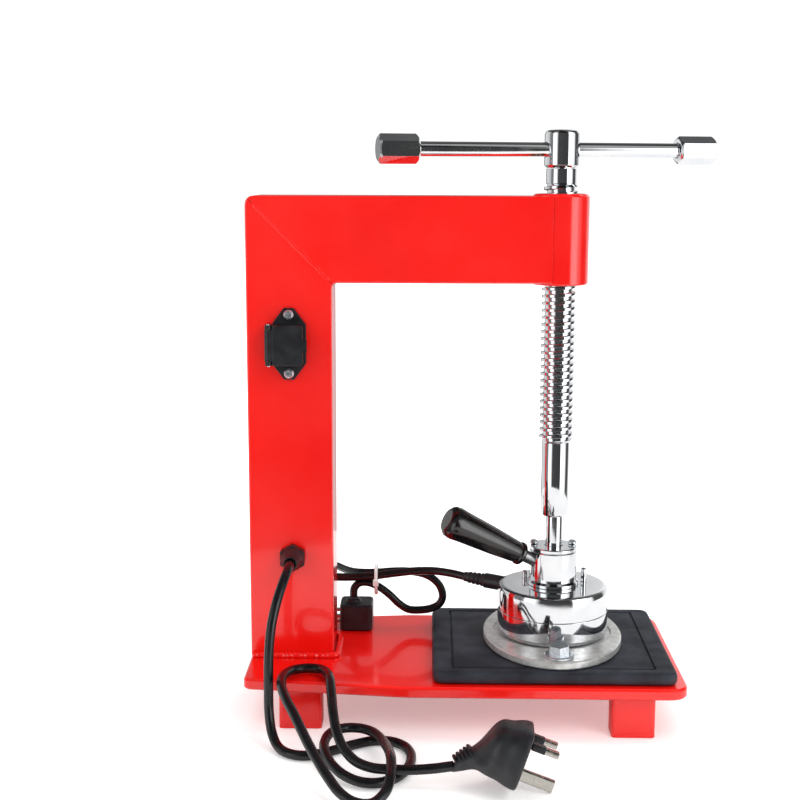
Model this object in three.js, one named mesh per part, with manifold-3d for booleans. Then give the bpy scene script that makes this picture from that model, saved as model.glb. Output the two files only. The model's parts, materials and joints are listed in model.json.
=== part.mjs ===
// Bench spot vulcanising press: a welded C-shaped steel frame, a T-handled screw and a heated head.
// Millimetres, +Z up. The origin is on the bench, in the middle of the footprint.
// -Y is the operator's side, -X is the column side and +X is the open end of the C.
import * as THREE from 'three';
import { mergeVertices } from 'three/addons/utils/BufferGeometryUtils.js';
import Module from 'manifold-3d';

const wasm = await Module();
wasm.setup();

// ---------- driving dimensions ----------
const gap = 0.3; // clearance between pieces that touch

// base
const baseLeft = -163;
const baseRight = 143;
const baseHalfLeft = 65; // half width at the column end
const baseHalfRight = 78; // half width under the pad
const baseTaperEnd = -50; // where the width stops growing
const baseThick = 8;
const footHeight = 30;
const footWidth = 30;
const footDepth = 20;
const footWall = 2.5;
const footInset = 8; // from the base's edge to the foot's outer face
const footLeftX = -124;
const footRightX = 106.5;

// frame tubes
const tubeWidth = 60; // in the plane of the C
const tubeDepth = 40; // across the C
const tubeWall = 3;
const tubeEdge = 4; // corner radius of the tube
const frameHeight = 368;
const weldLeg = 4.5;

// screw
const screwX = 55.5;
const pitch = 5;
const crestR = 12;
const rootR = 9.7;
const threadLow = 194;
const threadPast = 9; // how far the thread runs on above the frame
const threadHigh = frameHeight + threadPast;
const shankR = 9.9;
const shankLow = 140;
const neckR = 6;
const topShaftR = 10.6;
const bossR = 20;
const bossProud = 1.5; // how far the boss stands above the frame
const bossLong = 63;
const bossHigh = frameHeight + bossProud;
const bossLow = bossHigh - bossLong;
const nutR = 16;
const threadClearance = 0.35;

// T handle
const hubR = 12.2;
const hubAbove = 19; // from the frame's top to the hub at rest
const hubLong = 26;
const barDrop = 13.5; // from the hub's top to the bar's axis
const hubLow = frameHeight + hubAbove;
const hubHigh = hubLow + hubLong;
const barZ = hubHigh - barDrop;
const barR = 5;
const barLength = 188; // between the two end caps
const barShift = -8.5; // how far the bar has been slid through the hub
const barTurn = 15; // degrees, column end towards the operator
const capFlats = 17.5;
const capLength = 28;

// pad
const padLeft = -32;
const padRight = 136;
const padFront = -73;
const padBack = 70;
const padThick = 9;
const padEdge = 3;
const grooveWide = 1.8;
const grooveDeep = 1.4;
const grooveInset = [13, 14, 9, 9]; // left, right, front, back

// heated head
const drumR = 40;
const plateSide = 10; // how far the plate stands out past the drum, to the sides
const plateEnd = 29; // the same, to the front and back
const plateHalfX = drumR + plateSide;
const plateHalfY = drumR + plateEnd;
const plateThick = 6;
const seatPlay = 3; // between the drum and the edge of its recess
const seatR = drumR + seatPlay; // shallow round recess that the drum stands in
const seatDeep = 1.2;
const drumFloorR = 32;
const drumWall = 1.5;
const seamZ = 71.3;
const drumTop = 89;
const drumEdge = 4;
const coreR = 18;
const collarR = 17;
const collarTop = 114.6;
const keeperThick = 2.6;
const ballR = 5;
const swivelBoreR = 11.5;
const buttonR = 9.5;
const handleAzimuth = 20; // degrees from -X towards the operator
const handleRise = 27.8;
const handleZ = 99.5;
const gripLength = 66;
const gripBigR = 11.9;
const gripSmallR = 8;
const rodR = 4.5;

// heater lead entry
const leadAzimuth = 155; // degrees from +X
const reliefZ = 81.5;
const reliefLength = 30;
const heaterLeadD = 6;

// socket, gland and mains lead
const socketX = -133;
const socketZ = 266;
const flangeHigh = 50;
const flangeWide = 24;
const flangeThick = 3;
const lidWide = 21.5;
const lidHigh = 28;
const bodyOut = 8; // how far the socket stands out of its flange
const lidThick = 2.6;
const screwSpan = 20.5; // from the socket's centre to each flange screw
const glandX = -132;
const glandZ = 113;
const glandR = 7;
const mainsLeadD = 6.6;

// ---------- derived places ----------
const baseTop = footHeight + baseThick;
const padTop = baseTop + gap + padThick;
const plateLow = padTop + gap;
const plateTop = plateLow + plateThick;
const drumLow = plateTop - seatDeep + gap;
const columnFront = -tubeDepth / 2;
const armLow = frameHeight - tubeWidth;
const nutBoreR = crestR + threadClearance;

// ---------- materials ----------
const paint = new THREE.MeshStandardMaterial({ color: '#e0251f', roughness: 0.25, metalness: 0.1 });
const chrome = new THREE.MeshStandardMaterial({ color: '#dfe2e6', roughness: 0.08, metalness: 1 });
const steel = new THREE.MeshStandardMaterial({ color: '#a9abae', roughness: 0.4, metalness: 1 });
const zinc = new THREE.MeshStandardMaterial({ color: '#c3c9cf', roughness: 0.3, metalness: 1 });
const bronze = new THREE.MeshStandardMaterial({ color: '#a97b3e', roughness: 0.4, metalness: 1 });
const brass = new THREE.MeshStandardMaterial({ color: '#c9a24a', roughness: 0.3, metalness: 1 });
const castAluminium = new THREE.MeshStandardMaterial({ color: '#bfc0bf', roughness: 0.35, metalness: 1 });
const rubber = new THREE.MeshStandardMaterial({ color: '#3a3d45', roughness: 0.7, metalness: 0 });
const bakelite = new THREE.MeshStandardMaterial({ color: '#0d0b0b', roughness: 0.25, metalness: 0 });
const blackPlastic = new THREE.MeshStandardMaterial({ color: '#222426', roughness: 0.45, metalness: 0 });
const cable = new THREE.MeshStandardMaterial({ color: '#101113', roughness: 0.3, metalness: 0 });
const mica = new THREE.MeshStandardMaterial({ color: '#c9b98f', roughness: 0.6, metalness: 0 });
const whiteNylon = new THREE.MeshStandardMaterial({ color: '#eceeee', roughness: 0.5, metalness: 0 });

// ---------- helpers ----------
const press = new THREE.Group();
const radians = THREE.MathUtils.degToRad;

// A closed geometry becomes a solid that can be joined and cut.
function solid(geometry) {
  const plain = geometry.clone();
  for (const name of Object.keys(plain.attributes)) {
    if (name !== 'position') {
      plain.deleteAttribute(name);
    }
  }
  const merged = mergeVertices(plain, 1e-4);
  const points = merged.attributes.position.array;
  const triangles = [];
  const index = merged.index.array;
  for (let i = 0; i < index.length; i += 3) {
    const [a, b, c] = [index[i], index[i + 1], index[i + 2]];
    if (a !== b && b !== c && a !== c) {
      triangles.push(a, b, c);
    }
  }
  return new wasm.Manifold(new wasm.Mesh({
    numProp: 3,
    vertProperties: new Float32Array(points),
    triVerts: new Uint32Array(triangles),
  }));
}

function toGeometry(shape) {
  const mesh = shape.getMesh();
  const geometry = new THREE.BufferGeometry();
  geometry.setAttribute('position', new THREE.BufferAttribute(new Float32Array(mesh.vertProperties), 3));
  geometry.setIndex(new THREE.BufferAttribute(new Uint32Array(mesh.triVerts), 1));
  geometry.computeVertexNormals();
  return geometry;
}

// Adds a named piece. The shape is a solid or a closed geometry.
function piece(name, shape, material, parent = press) {
  const geometry = shape.isBufferGeometry ? shape : toGeometry(shape);
  const mesh = new THREE.Mesh(geometry, material);
  mesh.name = name;
  parent.add(mesh);
  return mesh;
}

// An outline of [radius, z] pairs, drawn upwards on its outer side, turned about a vertical axis.
function turned(profile, segments = 32, x = 0, y = 0) {
  const geometry = new THREE.LatheGeometry(profile.map(([r, z]) => new THREE.Vector2(r, z)), segments);
  geometry.rotateX(Math.PI / 2);
  geometry.translate(x, y, 0);
  return geometry;
}

function rod(radius, low, high, x = 0, y = 0, segments = 32) {
  return turned([[0, low], [radius, low], [radius, high], [0, high]], segments, x, y);
}

function block(x0, x1, y0, y1, z0, z1) {
  const geometry = new THREE.BoxGeometry(x1 - x0, y1 - y0, z1 - z0);
  geometry.translate((x0 + x1) / 2, (y0 + y1) / 2, (z0 + z1) / 2);
  return geometry;
}

// A closed outline through corners, each [x, y, corner radius].
function rounded(corners, steps = 4) {
  const shape = new THREE.Shape();
  const count = corners.length;
  for (let i = 0; i < count; i += 1) {
    const [x, y, r] = corners[i];
    const here = new THREE.Vector2(x, y);
    const before = new THREE.Vector2(...corners[(i + count - 1) % count]).sub(here).normalize();
    const after = new THREE.Vector2(...corners[(i + 1) % count]).sub(here).normalize();
    const half = Math.acos(THREE.MathUtils.clamp(before.dot(after), -1, 1)) / 2;
    const reach = r / Math.tan(half);
    const start = here.clone().addScaledVector(before, reach);
    const end = here.clone().addScaledVector(after, reach);
    for (let k = 0; k <= steps; k += 1) {
      const t = k / steps;
      const point = start.clone().multiplyScalar((1 - t) ** 2);
      point.addScaledVector(here, 2 * t * (1 - t)).addScaledVector(end, t * t);
      if (i === 0 && k === 0) {
        shape.moveTo(point.x, point.y);
      } else if (k === 0 || r > 0) {
        shape.lineTo(point.x, point.y);
      }
    }
  }
  return shape;
}

function rectangle(x0, x1, y0, y1, r = 0) {
  return rounded([[x0, y0, r], [x1, y0, r], [x1, y1, r], [x0, y1, r]]);
}

function regular(sides, flats) {
  const radius = flats / 2 / Math.cos(Math.PI / sides);
  const corners = [];
  for (let i = 0; i < sides; i += 1) {
    const angle = (i + 0.5) * 2 * Math.PI / sides;
    corners.push([radius * Math.cos(angle), radius * Math.sin(angle), 0]);
  }
  return rounded(corners);
}

// A shape drawn in XY and raised from low to high, with its rims rounded by edge.
function raised(shape, low, high, edge = 0) {
  const geometry = new THREE.ExtrudeGeometry(shape, {
    depth: high - low - 2 * edge,
    bevelEnabled: edge > 0,
    bevelSize: edge,
    bevelThickness: edge,
    bevelOffset: -edge,
    bevelSegments: 2,
    curveSegments: 12,
  });
  geometry.translate(0, 0, low + edge);
  return geometry;
}

// A shape drawn in XZ, run along Y from front to back.
function acrossY(shape, front, back, edge = 0) {
  const geometry = raised(shape, -back, -front, edge);
  geometry.rotateX(Math.PI / 2);
  return geometry;
}

// Turns a geometry that points along +Z so that it points along a direction, and moves it to a place.
function aimed(geometry, place, direction) {
  const turn = new THREE.Quaternion().setFromUnitVectors(new THREE.Vector3(0, 0, 1), direction.clone().normalize());
  return geometry.clone().applyQuaternion(turn).translate(...place);
}

// A round cord along a smooth line through the given points.
function cord(points, diameter, steps) {
  const path = new THREE.CatmullRomCurve3(points.map((p) => new THREE.Vector3(...p)), false, 'centripetal');
  const section = new THREE.Shape();
  section.absarc(0, 0, diameter / 2, 0, 2 * Math.PI);
  return new THREE.ExtrudeGeometry(section, { steps, extrudePath: path, curveSegments: 4, bevelEnabled: false });
}

// ---------- base ----------
function basePlate() {
  const outline = rounded([
    [baseLeft, -baseHalfLeft, 6],
    [baseTaperEnd, -baseHalfRight, 60],
    [baseRight, -baseHalfRight, 14],
    [baseRight, baseHalfRight, 14],
    [baseTaperEnd, baseHalfRight, 60],
    [baseLeft, baseHalfLeft, 6],
  ], 6);
  piece('base_plate', solid(raised(outline, footHeight, baseTop, 1.5)), paint);
}

function baseHalfAt(x) {
  const share = THREE.MathUtils.clamp((x - baseLeft) / (baseTaperEnd - baseLeft), 0, 1);
  return baseHalfLeft + share * (baseHalfRight - baseHalfLeft);
}

// Each foot is a stub of box section with a closed sole, open at the top where it is welded on.
function foot(name, x, side) {
  const outer = baseHalfAt(x - footWidth / 2) - footInset;
  const y = side * (outer - footDepth / 2);
  const shell = solid(raised(rectangle(-footWidth / 2, footWidth / 2, -footDepth / 2, footDepth / 2, 3), 0, footHeight - gap, 0));
  const inner = solid(raised(
    rectangle(-footWidth / 2 + footWall, footWidth / 2 - footWall, -footDepth / 2 + footWall, footDepth / 2 - footWall, 1),
    footWall,
    footHeight + 1,
  ));
  piece(name, shell.subtract(inner).translate([x, y, 0]), paint);
}

function feet() {
  foot('foot_front_left', footLeftX, -1);
  foot('foot_rear_left', footLeftX, 1);
  foot('foot_front_right', footRightX, -1);
  foot('foot_rear_right', footRightX, 1);
}

// ---------- C frame ----------
// Column and arm are box section, cut at 45 degrees where they meet.
function frameTubes() {
  const right = screwX;
  const outer = rounded([
    [baseLeft, baseTop + gap, 0],
    [baseLeft + tubeWidth, baseTop + gap, 0],
    [baseLeft + tubeWidth, armLow, 4],
    [right, armLow, 0],
    [right, frameHeight, 0],
    [baseLeft, frameHeight, 7],
  ]);
  const inner = rounded([
    [baseLeft + tubeWall, baseTop - 1, 0],
    [baseLeft + tubeWidth - tubeWall, baseTop - 1, 0],
    [baseLeft + tubeWidth - tubeWall, armLow + tubeWall, 2],
    [right + 1, armLow + tubeWall, 0],
    [right + 1, frameHeight - tubeWall, 0],
    [baseLeft + tubeWall, frameHeight - tubeWall, 5],
  ]);
  const half = tubeDepth / 2;
  const whole = solid(acrossY(outer, -half, half, tubeEdge / 2));
  const hollow = solid(acrossY(inner, -half + tubeWall, half - tubeWall));
  const frame = whole.subtract(hollow);

  // Everything above the mitre plane, which runs from the inner corner to the outer one.
  const corner = new THREE.Vector2(baseLeft + tubeWidth, armLow);
  const out = new THREE.Vector2(-1, 1).normalize();
  const far = 600;
  const mitre = (offset) => {
    const lift = new THREE.Vector2(out.y, -out.x).multiplyScalar(offset);
    const a = corner.clone().addScaledVector(out, -far).add(lift);
    const b = corner.clone().addScaledVector(out, far).add(lift);
    return solid(acrossY(rounded([[a.x, a.y, 0], [b.x, b.y, 0], [b.x + far, b.y + far, 0], [a.x + far, a.y + far, 0]].reverse()), -far, far));
  };
  const bossHole = solid(rod(bossR + gap, bossLow - 9, bossHigh + 9, screwX, 0, 40));
  const column = frame.subtract(mitre(-gap / 2));
  const arm = frame.intersect(mitre(gap / 2)).subtract(bossHole);
  const armLeftOfBoss = arm.intersect(solid(block(-far, screwX - bossR / 3, -far, far, -far, far)));
  piece('column', column.subtract(socketCutout()).subtract(glandHole()), paint);
  piece('arm', armLeftOfBoss, paint);
}

function socketCutout() {
  const half = lidWide / 2 - 1 + gap;
  const high = lidHigh / 2 - 1 + gap;
  let cut = solid(block(socketX - half, socketX + half, columnFront - 2, columnFront + tubeWall + 1, socketZ - high, socketZ + high));
  for (const side of [-1, 1]) {
    const hole = rod(1.8 + gap, -6, 6, 0, 0, 16);
    cut = cut.add(solid(aimed(hole, [socketX, columnFront, socketZ + side * screwSpan], new THREE.Vector3(0, -1, 0))));
  }
  return cut;
}

function glandHole() {
  const hole = rod(glandR + gap, -10, 10, 0, 0, 24);
  return solid(aimed(hole, [glandX, columnFront, glandZ], new THREE.Vector3(0, -1, 0)));
}

// A fillet weld round the foot of the column: front, open side and back.
function columnWeld() {
  const half = tubeDepth / 2 + gap;
  const left = baseLeft + 1;
  const right = baseLeft + tubeWidth + gap;
  const bend = 3;
  const path = [[left, -half, 0, -1]];
  for (const [cx, cy, from] of [[right - bend, -half + bend, -90], [right - bend, half - bend, 0]]) {
    for (let k = 0; k <= 4; k += 1) {
      const angle = radians(from + k * 22.5);
      path.push([cx + bend * Math.cos(angle), cy + bend * Math.sin(angle), Math.cos(angle), Math.sin(angle)]);
    }
  }
  path.push([left, half, 0, 1]);
  const low = baseTop + gap;
  const positions = [];
  for (const [x, y, nx, ny] of path) {
    positions.push(x, y, low);
    positions.push(x + nx * weldLeg, y + ny * weldLeg, low);
    positions.push(x, y, low + weldLeg);
  }
  const index = [];
  for (let i = 0; i + 1 < path.length; i += 1) {
    for (let k = 0; k < 3; k += 1) {
      const a = i * 3 + k;
      const b = i * 3 + (k + 1) % 3;
      index.push(a, a + 3, b, b, a + 3, b + 3);
    }
  }
  const last = (path.length - 1) * 3;
  index.push(0, 1, 2, last, last + 2, last + 1);
  const geometry = new THREE.BufferGeometry();
  geometry.setAttribute('position', new THREE.BufferAttribute(new Float32Array(positions), 3));
  geometry.setIndex(index);
  piece('column_weld', solid(geometry), paint);
}

function bossAndNut() {
  const outer = turned([
    [0, bossLow], [bossR - 1, bossLow], [bossR, bossLow + 1],
    [bossR, bossHigh - 2], [bossR - 2, bossHigh], [0, bossHigh],
  ], 48, screwX);
  const bore = solid(rod(nutR + gap, bossLow - 5, bossHigh + 5, screwX, 0, 40));
  piece('nut_boss', solid(outer).subtract(bore), paint);
  const nut = solid(rod(nutR, bossLow + 0.5, bossHigh - 0.5, screwX, 0, 40));
  const through = solid(rod(nutBoreR, bossLow - 5, bossHigh + 5, screwX, 0, 40));
  piece('screw_nut', nut.subtract(through), bronze);
}

// ---------- work pad ----------
function benchPad() {
  const low = baseTop + gap;
  const body = solid(raised(rectangle(padLeft, padRight, padFront, padBack, 8), low, padTop, padEdge));
  const [left, right, front, back] = grooveInset;
  const ring = rectangle(padLeft + left, padRight - right, padFront + front, padBack - back, 2);
  ring.holes.push(rectangle(
    padLeft + left + grooveWide,
    padRight - right - grooveWide,
    padFront + front + grooveWide,
    padBack - back - grooveWide,
    1,
  ));
  piece('bench_pad', body.subtract(solid(raised(ring, padTop - grooveDeep, padTop + 1))), rubber);
}

// ---------- screw ----------
// One right-hand trapezoidal thread, its crest fading out over half a turn at each end.
function threadGeometry() {
  const sides = 12;
  const rows = 4; // root start, crest start, crest end, root end in each pitch
  const offsets = [0, 0.13, 0.5, 0.63];
  const turns = (threadHigh - threadLow) / pitch;
  const vertex = (row, side) => {
    const turn = Math.floor(row / rows) + side / sides;
    const kind = ((row % rows) + rows) % rows;
    const raw = (turn + offsets[kind]) * pitch;
    const z = THREE.MathUtils.clamp(raw, 0, turns * pitch);
    const fade = THREE.MathUtils.clamp(Math.min(z, turns * pitch - z) / (pitch / 2), 0, 1);
    const r = kind === 1 || kind === 2 ? rootR + (crestR - rootR) * fade : rootR;
    const angle = 2 * Math.PI * (side % sides) / sides;
    return [r * Math.cos(angle), r * Math.sin(angle), threadLow + z];
  };
  const triangles = [];
  const push = (...corners) => corners.forEach((c) => triangles.push(...c));
  const firstRow = -rows;
  const lastRow = rows * Math.ceil(turns + 1);
  for (let row = firstRow; row < lastRow; row += 1) {
    for (let side = 0; side < sides; side += 1) {
      const a = vertex(row, side);
      const b = vertex(row, side + 1);
      const c = vertex(row + 1, side + 1);
      const d = vertex(row + 1, side);
      push(a, b, c);
      push(a, c, d);
    }
  }
  for (const [z, flip] of [[threadLow, true], [threadHigh, false]]) {
    for (let side = 0; side < sides; side += 1) {
      const from = 2 * Math.PI * side / sides;
      const to = 2 * Math.PI * ((side + 1) % sides) / sides;
      const a = [rootR * Math.cos(from), rootR * Math.sin(from), z];
      const b = [rootR * Math.cos(to), rootR * Math.sin(to), z];
      push(...(flip ? [[0, 0, z], b, a] : [[0, 0, z], a, b]));
    }
  }
  const geometry = new THREE.BufferGeometry();
  geometry.setAttribute('position', new THREE.BufferAttribute(new Float32Array(triangles), 3));
  return geometry;
}

function spindle() {
  const overlap = 1;
  const thread = solid(threadGeometry());
  const buttonLow = drumTop + gap + 4 + 2 * ballR + 2 * gap;
  const buttonHigh = collarTop - gap - 1.2;
  const lower = solid(turned([
    [0, buttonLow], [buttonR - 1, buttonLow], [buttonR, buttonLow + 1], [buttonR, buttonHigh],
    [neckR, buttonHigh], [neckR, shankLow], [shankR - 1.5, shankLow], [shankR, shankLow + 1.5],
    [shankR, threadLow + overlap], [0, threadLow + overlap],
  ], 32));
  const upper = solid(turned([
    [0, threadHigh - overlap], [topShaftR, threadHigh - overlap], [topShaftR, hubLow - gap],
    [5, hubLow - gap], [5, hubLow + 6], [0, hubLow + 6],
  ], 32));
  const cup = solid(new THREE.SphereGeometry(ballR + gap, 20, 12).translate(0, 0, buttonLow - ballR + 1.2));
  const whole = thread.add(lower).add(upper).subtract(cup);
  piece('spindle', whole.translate([screwX, 0, 0]), chrome);
}

function handleHub() {
  const body = solid(turned([
    [0, hubLow], [hubR - 2, hubLow], [hubR, hubLow + 2],
    [hubR, hubHigh - 3], [hubR - 1, hubHigh - 1], [hubR - 3, hubHigh], [0, hubHigh],
  ], 40));
  const spigot = solid(rod(5 + gap, hubLow - 1, hubLow + 6 + gap, 0, 0, 32));
  const hole = solid(new THREE.CylinderGeometry(barR + gap, barR + gap, 60, 28).rotateZ(Math.PI / 2).translate(0, 0, barZ));
  const turnedHole = hole.rotate([0, 0, barTurn]);
  piece('handle_hub', body.subtract(spigot).subtract(turnedHole).translate([screwX, 0, 0]), chrome);
}

// The sliding bar lies along its own X, and is turned about the screw.
function tommyBar() {
  const handle = new THREE.Group();
  handle.position.set(screwX, 0, barZ);
  handle.rotation.z = radians(barTurn);
  press.add(handle);
  const bar = new THREE.CylinderGeometry(barR, barR, barLength + 2 * 8, 24);
  bar.rotateZ(Math.PI / 2);
  bar.translate(barShift, 0, 0);
  piece('tommy_bar', solid(bar), chrome, handle);
  for (const [name, side] of [['bar_cap_left', -1], ['bar_cap_right', 1]]) {
    const edge = 1.8;
    const hex = solid(raised(regular(6, capFlats), 0, capLength));
    const cone = solid(turned([
      [0, 0], [capFlats / 2 - edge / 2, 0], [capFlats / 2 + 1.6, edge], [capFlats / 2 + 1.6, capLength - edge],
      [capFlats / 2 - edge / 2, capLength], [0, capLength],
    ], 36));
    const socket = solid(rod(barR + gap, -1, 8 + gap, 0, 0, 24));
    const cap = toGeometry(hex.intersect(cone).subtract(socket));
    cap.rotateZ(Math.PI / 6);
    cap.rotateY(side * Math.PI / 2);
    cap.translate(barShift + side * (barLength / 2 + gap), 0, 0);
    piece(name, cap, chrome, handle);
  }
}

// ---------- swivel and grip ----------
function thrustBall() {
  const floor = drumTop + gap + 4;
  piece('thrust_ball', new THREE.SphereGeometry(ballR, 20, 12).rotateX(Math.PI / 2).translate(screwX, 0, floor + gap + ballR), steel);
}

const handleDirection = new THREE.Vector3(
  -Math.cos(radians(handleRise)) * Math.cos(radians(handleAzimuth)),
  -Math.cos(radians(handleRise)) * Math.sin(radians(handleAzimuth)),
  Math.sin(radians(handleRise)),
);
const rodStart = swivelBoreR / Math.cos(radians(handleRise)) + 2.5;
const gripStart = collarR / Math.cos(radians(handleRise)) + 8.5;

function onHandle(geometry) {
  return aimed(geometry, [screwX, 0, handleZ], handleDirection);
}

const keeperScrewReach = 10.6;
const keeperScrewAngles = [['keeper_screw_right', 14], ['keeper_screw_left', 166]];

function collar() {
  const low = drumTop + gap;
  const body = solid(turned([
    [0, low], [collarR + 1.5, low], [collarR + 1.5, low + 2], [collarR, low + 3.5],
    [collarR, collarTop - 0.8], [collarR - 0.8, collarTop], [0, collarTop],
  ], 40));
  const bore = solid(rod(swivelBoreR, low + 4, collarTop + 1, 0, 0, 36));
  const rodHole = solid(onHandle(rod(rodR + gap, rodStart - gap, 40, 0, 0, 24))).translate([-screwX, 0, 0]);
  let shape = body.subtract(bore).subtract(rodHole);
  for (const [, angle] of keeperScrewAngles) {
    const reach = keeperScrewReach + 3.7;
    const x = reach * Math.cos(radians(angle));
    const y = reach * Math.sin(radians(angle));
    shape = shape.subtract(solid(rod(1.3 + gap, collarTop - 6, collarTop + 1, x, y, 16)));
  }
  piece('swivel_collar', shape.translate([screwX, 0, 0]), chrome);
}

function keeper() {
  const low = collarTop + gap;
  const high = low + keeperThick;
  let ring = solid(turned([
    [0, low], [collarR - 0.3, low], [collarR - 0.3, high - 0.6], [collarR - 0.9, high], [0, high],
  ], 40)).subtract(solid(rod(neckR + 0.5, low - 1, high + 1, 0, 0, 32)));
  for (const [name, angle] of keeperScrewAngles) {
    const reach = keeperScrewReach + 3.7;
    const x = reach * Math.cos(radians(angle));
    const y = reach * Math.sin(radians(angle));
    ring = ring.subtract(solid(rod(1.3 + gap, low - 1, high + 1, x, y, 16)));
    const head = turned([
      [0, low - 5], [1.3, low - 5], [1.3, high + gap], [3, high + gap],
      [3, high + gap + 1.4], [2.1, high + gap + 2.6], [0, high + gap + 3],
    ], 20, screwX + x, y);
    piece(name, solid(head), zinc);
  }
  piece('keeper_plate', ring.translate([screwX, 0, 0]), chrome);
}

function grip() {
  const start = gripStart;
  const end = gripStart + gripLength;
  const body = solid(turned([
    [0, start], [gripSmallR - 1.2, start], [gripSmallR + 0.4, start + 1.4], [gripSmallR + 0.4, start + 3.6],
    [gripSmallR - 0.6, start + 4.6], [gripSmallR, start + 7], [gripSmallR + 1.7, start + gripLength * 0.4],
    [gripBigR - 0.7, start + gripLength * 0.78], [gripBigR, end - 7], [gripBigR - 0.8, end - 3],
    [gripBigR - 3.4, end - 0.6], [gripBigR - 6, end], [0, end],
  ], 28));
  const socket = solid(rod(rodR + gap, start - 1, start + 18 + gap, 0, 0, 24));
  piece('handle_grip', toGeometry(onHandleSolid(body.subtract(socket))), bakelite);
  piece('handle_rod', solid(onHandle(rod(rodR, rodStart, start + 18, 0, 0, 24))), steel);
}

function onHandleSolid(shape) {
  return solid(onHandle(toGeometry(shape)));
}

// ---------- heated head ----------
const plateBoltInset = 12; // from the plate's end to the bolt
const plateBoltY = plateHalfY - plateBoltInset;
const plateBoltR = 4;

function heatingPlate() {
  const outline = new THREE.Shape();
  outline.absellipse(0, 0, plateHalfX, plateHalfY, 0, 2 * Math.PI);
  const body = new THREE.ExtrudeGeometry(outline, {
    depth: plateThick - 2,
    bevelEnabled: true,
    bevelSize: 1,
    bevelThickness: 1,
    bevelOffset: -1,
    bevelSegments: 1,
    curveSegments: 28,
  });
  body.translate(0, 0, plateLow + 1);
  const seat = solid(rod(seatR, plateTop - seatDeep, plateTop + 1, 0, 0, 48));
  let shape = solid(body).subtract(seat);
  for (const side of [-1, 1]) {
    shape = shape.subtract(solid(rod(plateBoltR + gap, plateLow + 1.5, plateTop + 1, 0, side * plateBoltY, 20)));
  }
  piece('heating_plate', shape.translate([screwX, 0, 0]), castAluminium);
}

function plateBolts() {
  for (const [name, side] of [['plate_bolt_front', -1], ['plate_bolt_rear', 1]]) {
    const low = plateTop + gap;
    const washer = solid(turned([
      [0, plateLow + 1.8], [plateBoltR, plateLow + 1.8], [plateBoltR, low], [10.5, low],
      [10.5, low + 1.2], [9.6, low + 1.8], [0, low + 1.8],
    ], 32));
    const hex = solid(raised(regular(6, 13), low + 1, low + 8));
    const cone = solid(turned([[0, low], [12, low], [12, low + 5.6], [6.2, low + 8.2], [0, low + 8.2]], 24));
    const drive = solid(raised(regular(6, 5), low + 5, low + 9));
    const bolt = washer.add(hex.intersect(cone)).subtract(drive);
    piece(name, bolt.translate([screwX, side * plateBoltY, 0]), zinc);
  }
}

// The lower shell is a straight-sided cup with a rounded foot, open at the top, with a ring floor round the element.
const floorRingR = 27;
function drumBowl() {
  const low = drumLow;
  const high = seamZ - gap;
  const w = drumWall;
  const r = drumR;
  const profile = [
    [floorRingR, low], [r - 4, low], [r - 1.9, low + 0.6], [r - 0.6, low + 1.9], [r, low + 4], [r, high],
    [r - w, high], [r - w, low + 4.4], [r - w - 0.5, low + w + 1.3], [r - w - 2, low + w], [floorRingR, low + w],
    [floorRingR, low],
  ];
  piece('drum_bowl', solid(turned(profile, 48)).translate([screwX, 0, 0]), chrome);
}

const studs = [['cover_stud_right', 5, 22.6, 11], ['cover_stud_left', 150, 22.6, 6]];

function drumCover() {
  const low = seamZ;
  const r = drumR;
  const w = drumWall;
  const e = drumEdge;
  const outer = solid(turned([
    [0, low], [r, low], [r, drumTop - e], [r - 0.3 * e, drumTop - 0.3 * e], [r - e, drumTop], [0, drumTop],
  ], 48));
  const inner = solid(turned([
    [0, low - 1], [r - w, low - 1], [r - w, drumTop - e], [r - w - 0.3 * e, drumTop - 0.3 * e - w], [r - e - w, drumTop - w],
    [0, drumTop - w],
  ], 48));
  let shape = outer.subtract(inner).subtract(solid(reliefBody(gap)).translate([-screwX, 0, 0]));
  for (const [, angle, reach] of studs) {
    const x = reach * Math.cos(radians(angle));
    const y = reach * Math.sin(radians(angle));
    shape = shape.subtract(solid(rod(2 + gap, drumTop - 5, drumTop + 5, x, y, 16)));
  }
  piece('drum_cover', shape.translate([screwX, 0, 0]), chrome);
}

function coverStuds() {
  for (const [name, angle, reach, height] of studs) {
    const x = screwX + reach * Math.cos(radians(angle));
    const y = reach * Math.sin(radians(angle));
    const low = plateTop + 8.4;
    const stud = turned([[0, low], [2, low], [2, drumTop + height - 0.8], [1.3, drumTop + height], [0, drumTop + height]], 18, x, y);
    piece(name, solid(stud), chrome);
  }
}

function headInternals() {
  const elementLow = plateTop - seatDeep + gap;
  const element = solid(rod(floorRingR - gap - 0.5, elementLow, elementLow + 3, 0, 0, 40));
  const centreHole = solid(rod(5, elementLow - 1, elementLow + 5, 0, 0, 24));
  piece('heating_element', element.subtract(centreHole).translate([screwX, 0, 0]), mica);
  const boardLow = elementLow + 3 + gap;
  const board = solid(rod(drumFloorR - 1.5, boardLow, boardLow + 2.4, 0, 0, 40));
  piece('insulation_disc', board.translate([screwX, 0, 0]), mica);
  const coreLow = boardLow + 2.4 + gap;
  const core = solid(rod(coreR, coreLow, drumTop - drumWall - gap, 0, 0, 36));
  piece('press_core', core.translate([screwX, 0, 0]), steel);
  const thermostat = turned([
    [0, coreLow], [5, coreLow], [5, coreLow + 7], [3.4, coreLow + 9], [0, coreLow + 9],
  ], 24, screwX, 25);
  piece('thermostat', solid(thermostat), brass);
  piece('terminal_block', block(screwX - 30, screwX - 19.5, -7, 7, coreLow, coreLow + 8), whiteNylon);
}

const leadDirection = new THREE.Vector3(Math.cos(radians(leadAzimuth)), Math.sin(radians(leadAzimuth)), 0.04);

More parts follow.
